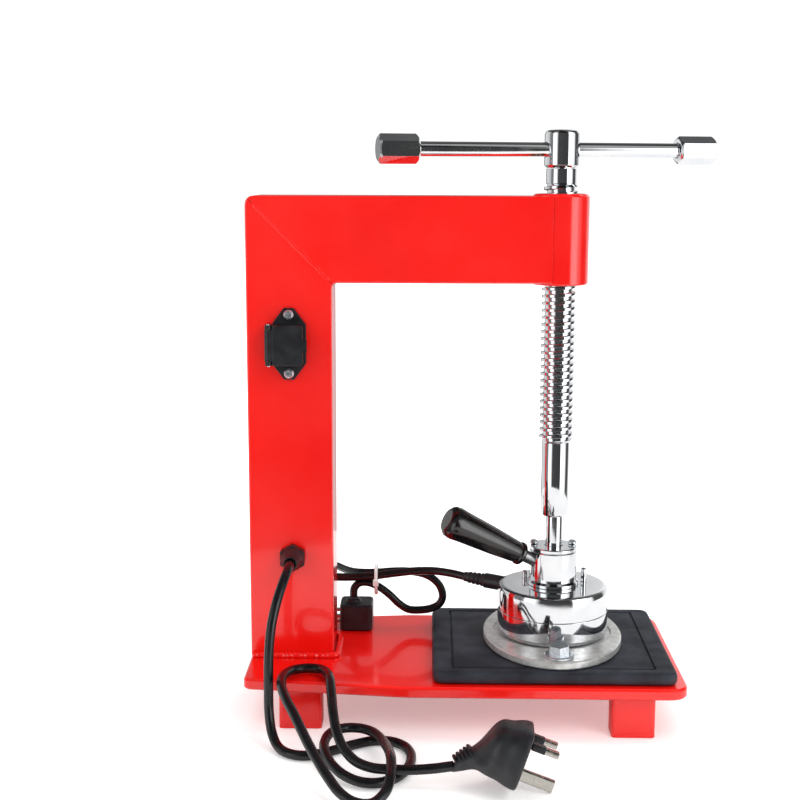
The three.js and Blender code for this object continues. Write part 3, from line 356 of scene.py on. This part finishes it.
def moulded_plastic():
    """Injection-moulded PVC and nylon: near black, satin, with the spark-eroded mould's fine grain."""
    mat, tree, shader = finish("moulded_plastic", "1B1C1F", 0.42, 0.0, 1.53)
    mottle(tree, shader, ("17181B", "222428"), 8)
    uneven_gloss(tree, shader, 0.34, 0.5, 6)
    grain(tree, shader, 0.7, 0.03)
    return mat


def pvc_sheath():
    """Extruded PVC lead sheath: black with a soft satin shine and slight handling marks."""
    mat, tree, shader = finish("pvc_sheath", "0E0F11", 0.28, 0.0, 1.53)
    mottle(tree, shader, ("0C0D0F", "141518"), 12)
    uneven_gloss(tree, shader, 0.22, 0.36, 9)
    grain(tree, shader, 1.8, 0.02)
    return mat


def bright_zinc():
    """Bright zinc plate on rolled screws and pressed nuts: cool silver, semi-bright, slightly cloudy."""
    mat, tree, shader = finish("bright_zinc", "D6DDE3", 0.32, 0.9)
    mottle(tree, shader, ("D2DAE2", "EDF2F5"), 2.5)
    uneven_gloss(tree, shader, 0.26, 0.4, 2)
    grain(tree, shader, 0.9, 0.02)
    return mat


def turned_steel():
    """Plain turned steel: mid grey with fine tool marks round the axis."""
    mat, tree, shader = finish("turned_steel", "9B9C9E", 0.32, 1.0)
    mottle(tree, shader, ("8E8F92", "A9AAAC"), 6)
    uneven_gloss(tree, shader, 0.25, 0.42, 4)
    grain(tree, shader, 0.5, 0.02, stretch=(0.2, 0.2, 2))
    return mat


def machined_bronze():
    """Machined bearing bronze: warm brown-gold with a dull lustre."""
    mat, tree, shader = finish("machined_bronze", "B07F45", 0.35, 1.0)
    mottle(tree, shader, ("A3733B", "BD8D52"), 5)
    uneven_gloss(tree, shader, 0.28, 0.45, 4)
    grain(tree, shader, 0.5, 0.02)
    return mat


def stamped_brass():
    """Stamped brass, nickel washed where it shows: bright, cool and lightly scratched."""
    mat, tree, shader = finish("stamped_brass", "C8C4BC", 0.24, 1.0)
    mottle(tree, shader, ("BDB9B0", "D6D3CC"), 3)
    uneven_gloss(tree, shader, 0.18, 0.34, 3)
    grain(tree, shader, 0.6, 0.015)
    return mat


def mica_board():
    """Pressed mica board: straw brown with pale flakes."""
    mat, tree, shader = finish("mica_board", "BBA77C", 0.55)
    mottle(tree, shader, ("A08C63", "D3C39B"), 2, (0.4, 0.6))
    uneven_gloss(tree, shader, 0.4, 0.65, 2)
    grain(tree, shader, 1, 0.05)
    return mat


def moulded_nylon():
    """Natural nylon: milky white, slightly waxy, with a soft sheen."""
    mat, tree, shader = finish("moulded_nylon", "EDEEEC", 0.38, 0.0, 1.53)
    mottle(tree, shader, ("E6E7E4", "F4F5F3"), 5)
    uneven_gloss(tree, shader, 0.3, 0.45, 4)
    grain(tree, shader, 1, 0.01)
    return mat


FINISHES = {
    "red_enamel": gloss_enamel,
    "chrome": chromium_plate,
    "cast_aluminium": cast_aluminium,
    "pad_rubber": moulded_rubber,
    "phenolic_grip": polished_phenolic,
    "black_plastic": moulded_plastic,
    "lead_sheath": pvc_sheath,
    "bright_zinc": bright_zinc,
    "plain_steel": turned_steel,
    "nut_bronze": machined_bronze,
    "contact_brass": stamped_brass,
    "mica_board": mica_board,
    "white_nylon": moulded_nylon,
}
SLOT_OF = {part["node"]: part["material_slot"] for part in frame["record"]["subparts"]}
MATERIALS = {slot: make() for slot, make in FINISHES.items()}

# ---------- making and placing pieces ----------
# Enclosed pieces keep their CAD meshes. They can't be seen from outside.
ENCLOSED = {
    "heating_element", "insulation_disc", "press_core", "thermostat", "terminal_block", "thrust_ball",
    "outlet_contact_line", "outlet_contact_neutral", "outlet_contact_earth", "gland_nut", "column_loom",
}
# Pieces with a shape of their own below, rather than a softened copy of the CAD mesh.
MADE_ANEW = {"spindle", "column_weld", "mains_plug", "mains_lead", "heater_lead", "lead_tie"}
DEFAULT_EDGE = 0.3  # mm
EDGES = {
    "base_plate": 1.2, "column": 1.0, "arm": 1.0, "nut_boss": 0.7, "bench_pad": 0.6, "heating_plate": 0.5,
    "foot_front_left": 0.8, "foot_rear_left": 0.8, "foot_front_right": 0.8, "foot_rear_right": 0.8,
    "bar_cap_left": 0.5, "bar_cap_right": 0.5, "outlet_lid": 0.6, "outlet_body": 0.4, "heater_plug": 1.2,
    "handle_hub": 0.5, "swivel_collar": 0.5, "drum_cover": 0.4, "drum_bowl": 0.4, "tommy_bar": 0.4,
}
EDGE_STEPS = 3
SHARP = math.radians(31)


def settle(piece, slot, body, *stands_for):
    """Gives a finished piece the material of its slot and its body, and hides the CAD nodes that it stands
    for.
    """
    piece.data.materials.clear()
    piece.data.materials.append(MATERIALS[slot])
    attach(piece, body)
    if stands_for:
        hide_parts(*stands_for)
    return piece


def from_bmesh(name, bm, smooth_angle=SHARP):
    """Turns a bmesh into a smooth-shaded object, with crisp edges above the given angle."""
    bmesh.ops.recalc_face_normals(bm, faces=bm.faces)
    mesh = bpy.data.meshes.new(name)
    bm.to_mesh(mesh)
    bm.free()
    mesh.shade_smooth()
    mesh.set_sharp_from_angle(angle=smooth_angle)
    piece = bpy.data.objects.new(name, mesh)
    bpy.context.scene.collection.objects.link(piece)
    return piece


def apply_modifiers(piece):
    """Replaces the piece's mesh by its evaluated one."""
    bpy.context.view_layer.update()
    graph = bpy.context.evaluated_depsgraph_get()
    mesh = bpy.data.meshes.new_from_object(piece.evaluated_get(graph))
    piece.modifiers.clear()
    piece.data = mesh


def softened(node):
    """A joined-up copy of a CAD mesh with its hard edges rounded, as bending and polishing leave them."""
    bm = bmesh.new()
    bm.from_mesh(nodes[node].data)
    bmesh.ops.remove_doubles(bm, verts=bm.verts, dist=0.00002)
    bmesh.ops.dissolve_limit(bm, angle_limit=math.radians(0.5), verts=bm.verts, edges=bm.edges)
    mesh = bpy.data.meshes.new(node + "_finish")
    bm.to_mesh(mesh)
    bm.free()
    mesh.shade_smooth()
    piece = bpy.data.objects.new(node + "_finish", mesh)
    bpy.context.scene.collection.objects.link(piece)
    edges = piece.modifiers.new("edges", "BEVEL")
    edges.width = EDGES.get(node, DEFAULT_EDGE) * MM
    edges.segments = EDGE_STEPS
    edges.limit_method = "ANGLE"
    edges.angle_limit = SHARP
    shading = piece.modifiers.new("shading", "WEIGHTED_NORMAL")
    shading.weight = 100
    shading.keep_sharp = True
    apply_modifiers(piece)
    return settle(piece, SLOT_OF[node], nodes[node]["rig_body"], node)


def lathe(bm, profile, segments, matrix=Matrix.Identity(4)):
    """Adds the closed solid of a profile of (radius, height) pairs, which starts and ends on the axis."""
    rings = []
    for radius, height in profile:
        if radius == 0:
            rings.append([bm.verts.new(matrix @ Vector((0, 0, height)))])
            continue
        rings.append([
            bm.verts.new(matrix @ Vector((radius * math.cos(a), radius * math.sin(a), height)))
            for a in (2 * math.pi * k / segments for k in range(segments))
        ])
    for lower, upper in zip(rings, rings[1:]):
        for k in range(segments):
            after = (k + 1) % segments
            corners = [
                lower[k % len(lower)], lower[after % len(lower)],
                upper[after % len(upper)], upper[k % len(upper)],
            ]
            bm.faces.new(list(dict.fromkeys(corners)))


def loft(bm, rings):
    """Adds a closed solid through rings of the same number of points."""
    made = [[bm.verts.new(p) for p in ring] for ring in rings]
    count = len(made[0])
    for one, two in zip(made, made[1:]):
        for k in range(count):
            after = (k + 1) % count
            bm.faces.new((one[k], one[after], two[after], two[k]))
    bm.faces.new(made[0])
    bm.faces.new(made[-1])


def centripetal(points, per_span=12):
    """A smooth line through points, the same curve as the CAD tube's."""
    ends = [2 * points[0] - points[1]] + points + [2 * points[-1] - points[-2]]
    line = []
    for p0, p1, p2, p3 in zip(ends, ends[1:], ends[2:], ends[3:]):
        t0 = 0.0
        t1 = t0 + (p1 - p0).length ** 0.5
        t2 = t1 + (p2 - p1).length ** 0.5
        t3 = t2 + (p3 - p2).length ** 0.5
        for k in range(per_span):
            t = t1 + (t2 - t1) * k / per_span
            a1 = p0.lerp(p1, (t - t0) / (t1 - t0))
            a2 = p1.lerp(p2, (t - t1) / (t2 - t1))
            a3 = p2.lerp(p3, (t - t2) / (t3 - t2))
            b1 = a1.lerp(a2, (t - t0) / (t2 - t0))
            b2 = a2.lerp(a3, (t - t1) / (t3 - t1))
            line.append(b1.lerp(b2, (t - t1) / (t2 - t1)))
    line.append(points[-1])
    return line


def lead_curve(name, route, diameter):
    """A round lead as a curve of one open spline. Returns it with its length."""
    line = centripetal([Vector(p) for p in route])
    data = bpy.data.curves.new(name, "CURVE")
    data.dimensions = "3D"
    spline = data.splines.new("POLY")
    spline.points.add(len(line) - 1)
    for point, place in zip(spline.points, line):
        point.co = (*place, 1)
    spline.use_smooth = True
    data.bevel_depth = diameter / 2
    data.bevel_resolution = 5
    data.use_fill_caps = True
    piece = bpy.data.objects.new(name, data)
    bpy.context.scene.collection.objects.link(piece)
    return piece, sum((b - a).length for a, b in zip(line, line[1:]))


# ---------- screw ----------
THREAD_LOW, THREAD_HIGH = 0.194, 0.377
THREAD_PITCH = 0.005
THREAD_SIDES = 48
# One pitch of the thread: share of the pitch, radius in mm. The crests and roots are slightly rounded.
THREAD_PROFILE = [
    (0.0, 9.7), (0.03, 9.85), (0.11, 11.8), (0.15, 12.0), (0.48, 12.0), (0.52, 11.8),
    (0.60, 9.85), (0.63, 9.7),
]
THREAD_RUN_OUT = 2.5  # mm of screw over which the crest fades out at each end


def screw_thread(bm, centre):
    """Adds the rolled trapezoidal thread, closed at both ends."""
    length = THREAD_HIGH - THREAD_LOW
    turns = math.ceil(length / THREAD_PITCH) + 1
    root = THREAD_PROFILE[0][1]
    rows = []
    for turn in range(-1, turns + 1):
        for share, radius in THREAD_PROFILE:
            row = []
            for side in range(THREAD_SIDES + 1):
                along = (turn + share + side / THREAD_SIDES) * THREAD_PITCH
                z = min(max(along, 0), length)
                fade = min(min(z, length - z) / (THREAD_RUN_OUT * MM), 1)
                r = (root + (radius - root) * fade) * MM
                angle = 2 * math.pi * side / THREAD_SIDES
                place = Vector((r * math.cos(angle), r * math.sin(angle), THREAD_LOW + z))
                row.append(bm.verts.new(centre + place))
            rows.append(row)
    for one, two in zip(rows, rows[1:]):
        for side in range(THREAD_SIDES):
            bm.faces.new((one[side], one[side + 1], two[side + 1], two[side]))
    bmesh.ops.remove_doubles(bm, verts=bm.verts, dist=0.000004)
    bmesh.ops.dissolve_degenerate(bm, edges=bm.edges, dist=0.000002)
    open_edges = [e for e in bm.edges if len(e.link_faces) == 1]
    bmesh.ops.holes_fill(bm, edges=open_edges, sides=0)


def spindle():
    """The chromed spindle: threaded length, plain shank and neck below it, and plain shaft up to the hub."""
    centre = Vector((screw_x, screw_y, 0))
    bm = bmesh.new()
    screw_thread(bm, centre)
    low, shank_low = spindle_low.z, 0.140
    button_high = low + 0.0094
    here = Matrix.Translation(centre)
    lathe(bm, [
        (0, low), (0.0085, low), (0.0095, low + 0.001), (0.0095, button_high), (0.006, button_high + 0.0003),
        (0.006, shank_low - 0.0006), (0.0064, shank_low), (0.0084, shank_low + 0.0001),
        (0.0094, shank_low + 0.0006),
        (0.0099, shank_low + 0.0016), (0.0099, THREAD_LOW - 0.0004), (0.0096, THREAD_LOW + 0.0002),
        (0, THREAD_LOW + 0.0012),
    ], 64, here)
    lathe(bm, [
        (0, THREAD_HIGH - 0.001), (0.0101, THREAD_HIGH - 0.001), (0.0106, THREAD_HIGH - 0.0004),
        (0.0106, hub_low.z - 0.0008), (0.0102, hub_low.z - 0.0003), (0.005, hub_low.z - 0.0003),
        (0.005, spindle_high.z), (0, spindle_high.z),
    ], 64, here)
    return settle(from_bmesh("spindle_finish", bm), "chrome", "spindle", "spindle")


# ---------- welds ----------
def weld_bead(name, path, outward, width, height, seed, wave=0.0032):
    """A run of weld: overlapping puddles along a path of points, each swelling in its own direction."""
    rng = random.Random(seed)
    bm = bmesh.new()
    rings = []
    run = 0.0
    previous = path[0]
    for place, out in zip(path, outward):
        run += (place - previous).length
        previous = place
        swell = 0.86 + 0.14 * abs(math.sin(math.pi * run / wave)) + rng.uniform(-0.04, 0.04)
        ring = []
        for k in range(9):
            angle = math.pi / 2 * k / 8
            away = out * (width * swell * math.cos(angle)) + Vector((0, 0, height * swell * math.sin(angle)))
            bulge = 0.82 + 0.18 * math.sin(2 * angle)
            ring.append(place + away * bulge)
        ring.append(place)
        rings.append(ring)
    loft(bm, rings)
    return from_bmesh(name, bm, math.radians(50))


def column_weld():
    """The fillet round the foot of the column: front, open side and back."""
    half = (column_high.y - column_low.y) / 2 + 0.0003
    left, right = weld_low.x + 0.0002, column_high.x + 0.0003
    low = weld_low.z
    bend = 0.003
    step = 0.0008
    path, outward = [], []
    count = int((right - bend - left) / step)
    for k in range(count):
        path.append(Vector((left + k * step, -half, low)))
        outward.append(Vector((0, -1, 0)))
    for centre_y, start in ((-half + bend, -90), (half - bend, 0)):
        for k in range(9):
            angle = math.radians(start + k * 90 / 8)
            out = Vector((math.cos(angle), math.sin(angle), 0))
            path.append(Vector((right - bend, centre_y, low)) + out * bend)
            outward.append(out)
        if start == -90:
            side = int((2 * half - 2 * bend) / step)
            for k in range(1, side):
                path.append(Vector((right, -half + bend + k * step, low)))
                outward.append(Vector((1, 0, 0)))
    for k in range(1, count):
        path.append(Vector((right - bend - k * step, half, low)))
        outward.append(Vector((0, 1, 0)))
    reach = -0.0003 - half - weld_low.y
    piece = weld_bead("column_weld_finish", path, outward, reach, weld_high.z - weld_low.z, 5)
    return settle(piece, "red_enamel", "frame", "column_weld")


def mitre_seams():
    """The weld where column and arm meet, ground almost flush. It shows as a faint line under the paint."""
    arm_low, arm_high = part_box("arm")
    inner = Vector((column_high.x, 0, arm_low.z))
    outer = Vector((column_low.x, 0, arm_high.z))
    rng = random.Random(11)
    across = (outer - inner).normalized()
    side = Vector((across.z, 0, -across.x))
    start, stop = 0.0035, (outer - inner).length - 0.0075
    for name, y, out in (("mitre_seam_front", column_low.y, -1), ("mitre_seam_rear", column_high.y, 1)):
        bm = bmesh.new()
        rings = []
        count = 110
        for i in range(count + 1):
            along = start + (stop - start) * i / count
            end = min(1.0, min(i, count - i) / 4 + 0.05)
            swell = (0.8 + 0.2 * abs(math.sin(math.pi * along / 0.0034)) + rng.uniform(-0.05, 0.05)) * end
            middle = inner + across * along + Vector((0, y - out * 0.0003, 0))
            middle += side * (0.0002 * math.sin(along / 0.0021))
            ring = []
            for k in range(8):
                angle = math.pi * k / 7
                ring.append(middle + side * (0.0015 * swell * math.cos(angle))
                            + Vector((0, out * (0.0003 + 0.00035 * swell) * math.sin(angle), 0)))
            rings.append(ring)
        loft(bm, rings)
        settle(from_bmesh(name, bm, math.radians(60)), "red_enamel", "frame")


# ---------- plug, leads and tie ----------
PLUG_FACE = Vector((0.026, -0.152, 0.0218))
PLUG_TURN = (Matrix.Rotation(math.radians(-6), 4, "Z") @ Matrix.Rotation(math.radians(19), 4, "Y")
             @ Matrix.Rotation(math.radians(-9), 4, "X"))
# Sections from the pin face back: x, middle z, half width and half height in mm, and squareness.
PLUG_SECTIONS = [
    (-0.1, 0.5, 21.8, 18.3, 5.0), (-0.9, 0.5, 22.9, 19.3, 5.0), (-4, 0.5, 23.4, 19.5, 4.6),
    (-8.5, 0.3, 22.6, 18.9, 4.0), (-12.5, -0.2, 20.8, 17.6, 3.6), (-16, -0.3, 20.2, 17.4, 3.4),
    (-20, -0.6, 19.2, 17.2, 3.2), (-23.5, -2.2, 16.5, 15.2, 3.0), (-26, -5, 13.2, 12.4, 2.7),
    (-28.5, -8.6, 10.6, 9.8, 2.4), (-31, -11.6, 9.0, 8.5, 2.2), (-34, -14.6, 7.7, 7.6, 2.1),
    (-37, -17.2, 6.5, 6.7, 2.0), (-39.2, -19.2, 5.6, 6.1, 2.0), (-40.4, -20.2, 4.6, 5.0, 2.0),
]
PIN_ASIDE, PIN_RAISED = 11.1, 11.1  # mm from the earth pin's plane and height to each other pin
SLEEVE_FROM, SLEEVE_TO = 0.35, 9.6  # mm along the pin
SLEEVE_SIZE = (6.75, 4.45)  # mm
BOOT_RIBS = 5
BOOT_TURN = math.radians(-149)  # from the plug's upright to the boot's run


def plug_body():
    """The moulded mains plug: a waisted body that narrows into a ribbed lead entry."""
    here = Matrix.Translation(PLUG_FACE) @ PLUG_TURN
    bm = bmesh.new()
    rings = []
    around = 56
    for x, middle, wide, high, square in PLUG_SECTIONS:
        ring = []
        for k in range(around):
            angle = 2 * math.pi * k / around
            c, s = math.cos(angle), math.sin(angle)
            y = wide * math.copysign(abs(c) ** (2 / square), c)
            z = middle + high * math.copysign(abs(s) ** (2 / square), s)
            ring.append(Vector((x, y, z)) * MM)
        rings.append([here @ p for p in ring])
    loft(bm, rings)
    piece = from_bmesh("mains_plug_finish", bm, math.radians(50))
    smoothing = piece.modifiers.new("smoothing", "SUBSURF")
    smoothing.levels = smoothing.render_levels = 1
    apply_modifiers(piece)
    settle(piece, "black_plastic", "frame", "mains_plug")
    ribs = bmesh.new()
    for k in range(BOOT_RIBS):
        share = k / (BOOT_RIBS - 1)
        x = -29.6 - share * 8.2
        middle = -10.2 - share * 7.8
        radius = 8.5 - share * 2.5
        ring = here @ Matrix.Translation(Vector((x, 0, middle)) * MM) @ Matrix.Rotation(BOOT_TURN, 4, "Y")
        half = 0.0007
        r = radius * MM
        rib = [(0, -half), (r - 0.0004, -half), (r, -half / 2), (r, half / 2), (r - 0.0004, half), (0, half)]
        lathe(ribs, rib, 40, ring)
    settle(from_bmesh("plug_boot_ribs", ribs), "black_plastic", "frame")
    sleeves = bmesh.new()
    start, end = SLEEVE_FROM, SLEEVE_TO
    for y in (-PIN_ASIDE, PIN_ASIDE):
        box = bmesh.ops.create_cube(sleeves, size=1)["verts"]
        size = Matrix.Diagonal((end - start, *SLEEVE_SIZE, 1))
        shift = Matrix.Translation(((start + end) / 2, y, PIN_RAISED))
        bmesh.ops.transform(sleeves, verts=box, matrix=here @ Matrix.Scale(MM, 4) @ shift @ size)
    piece = from_bmesh("pin_sleeves", sleeves)
    edges = piece.modifiers.new("edges", "BEVEL")
    edges.width, edges.segments = 0.0009, 3
    apply_modifiers(piece)
    settle(piece, "black_plastic", "frame")


def lead_tie():
    """A narrow nylon tie drawn round the three strands, with its small square head."""
    middle = (tie_low + tie_high) / 2
    head_deep = 0.0026
    half_y = (tie_high.y - tie_low.y - head_deep) / 2
    half_z = (tie_high.z - tie_low.z) / 2
    centre = Vector((middle.x, tie_high.y - half_y, middle.z))
    bm = bmesh.new()
    count = 64
    thick, wide = 0.0010, (tie_high.x - tie_low.x) / 2 * 0.62
    shoulder = (wide * 0.8, thick * 0.8)
    section = [
        (-wide, 0), (-shoulder[0], shoulder[1]), (0, thick), shoulder, (wide, 0), (0, -thick * 0.1),
    ]
    rings = []
    for k in range(count):
        angle = 2 * math.pi * k / count
        out = Vector((0, math.cos(angle), math.sin(angle)))
        place = centre + Vector((0, (half_y - thick) * math.cos(angle), (half_z - thick) * math.sin(angle)))
        rings.append([bm.verts.new(place + Vector((x, 0, 0)) + out * o) for x, o in section])
    for one, two in zip(rings, rings[1:] + rings[:1]):
        for k in range(6):
            bm.faces.new((one[k], one[(k + 1) % 6], two[(k + 1) % 6], two[k]))
    head = bmesh.ops.create_cube(bm, size=1)["verts"]
    place = Matrix.Translation((centre.x, tie_low.y + head_deep / 2 + 0.0003, centre.z))
    bmesh.ops.transform(bm, verts=head, matrix=place @ Matrix.Diagonal((0.0042, head_deep, 0.0046, 1)))
    piece = from_bmesh("lead_tie_finish", bm)
    edges = piece.modifiers.new("edges", "BEVEL")
    edges.width, edges.segments, edges.limit_method = 0.0004, 2, "ANGLE"
    apply_modifiers(piece)
    return settle(piece, "white_nylon", "head", "lead_tie")


def leads():
    heater, heater_length = lead_curve("heater_lead_finish", HEATER_ROUTE, HEATER_LEAD_D)
    settle(heater, "lead_sheath", "head", "heater_lead")
    mains, mains_length = lead_curve("mains_lead_finish", MAINS_ROUTE, MAINS_LEAD_D)
    settle(mains, "lead_sheath", "frame", "mains_lead")


def dress():
    """Softens every visible CAD piece, and gives the enclosed ones their materials."""
    for node, thing in nodes.items():
        if node in ENCLOSED:
            thing.data.materials.clear()
            thing.data.materials.append(MATERIALS[SLOT_OF[node]])
        elif node not in MADE_ANEW:
            softened(node)


camera()
studio()
floor()
dress()
spindle()
column_weld()
mitre_seams()
plug_body()
lead_tie()
leads()

view = bpy.context.scene.view_settings
view.view_transform = "Standard"
view.look = "None"

bpy.context.view_layer.update()
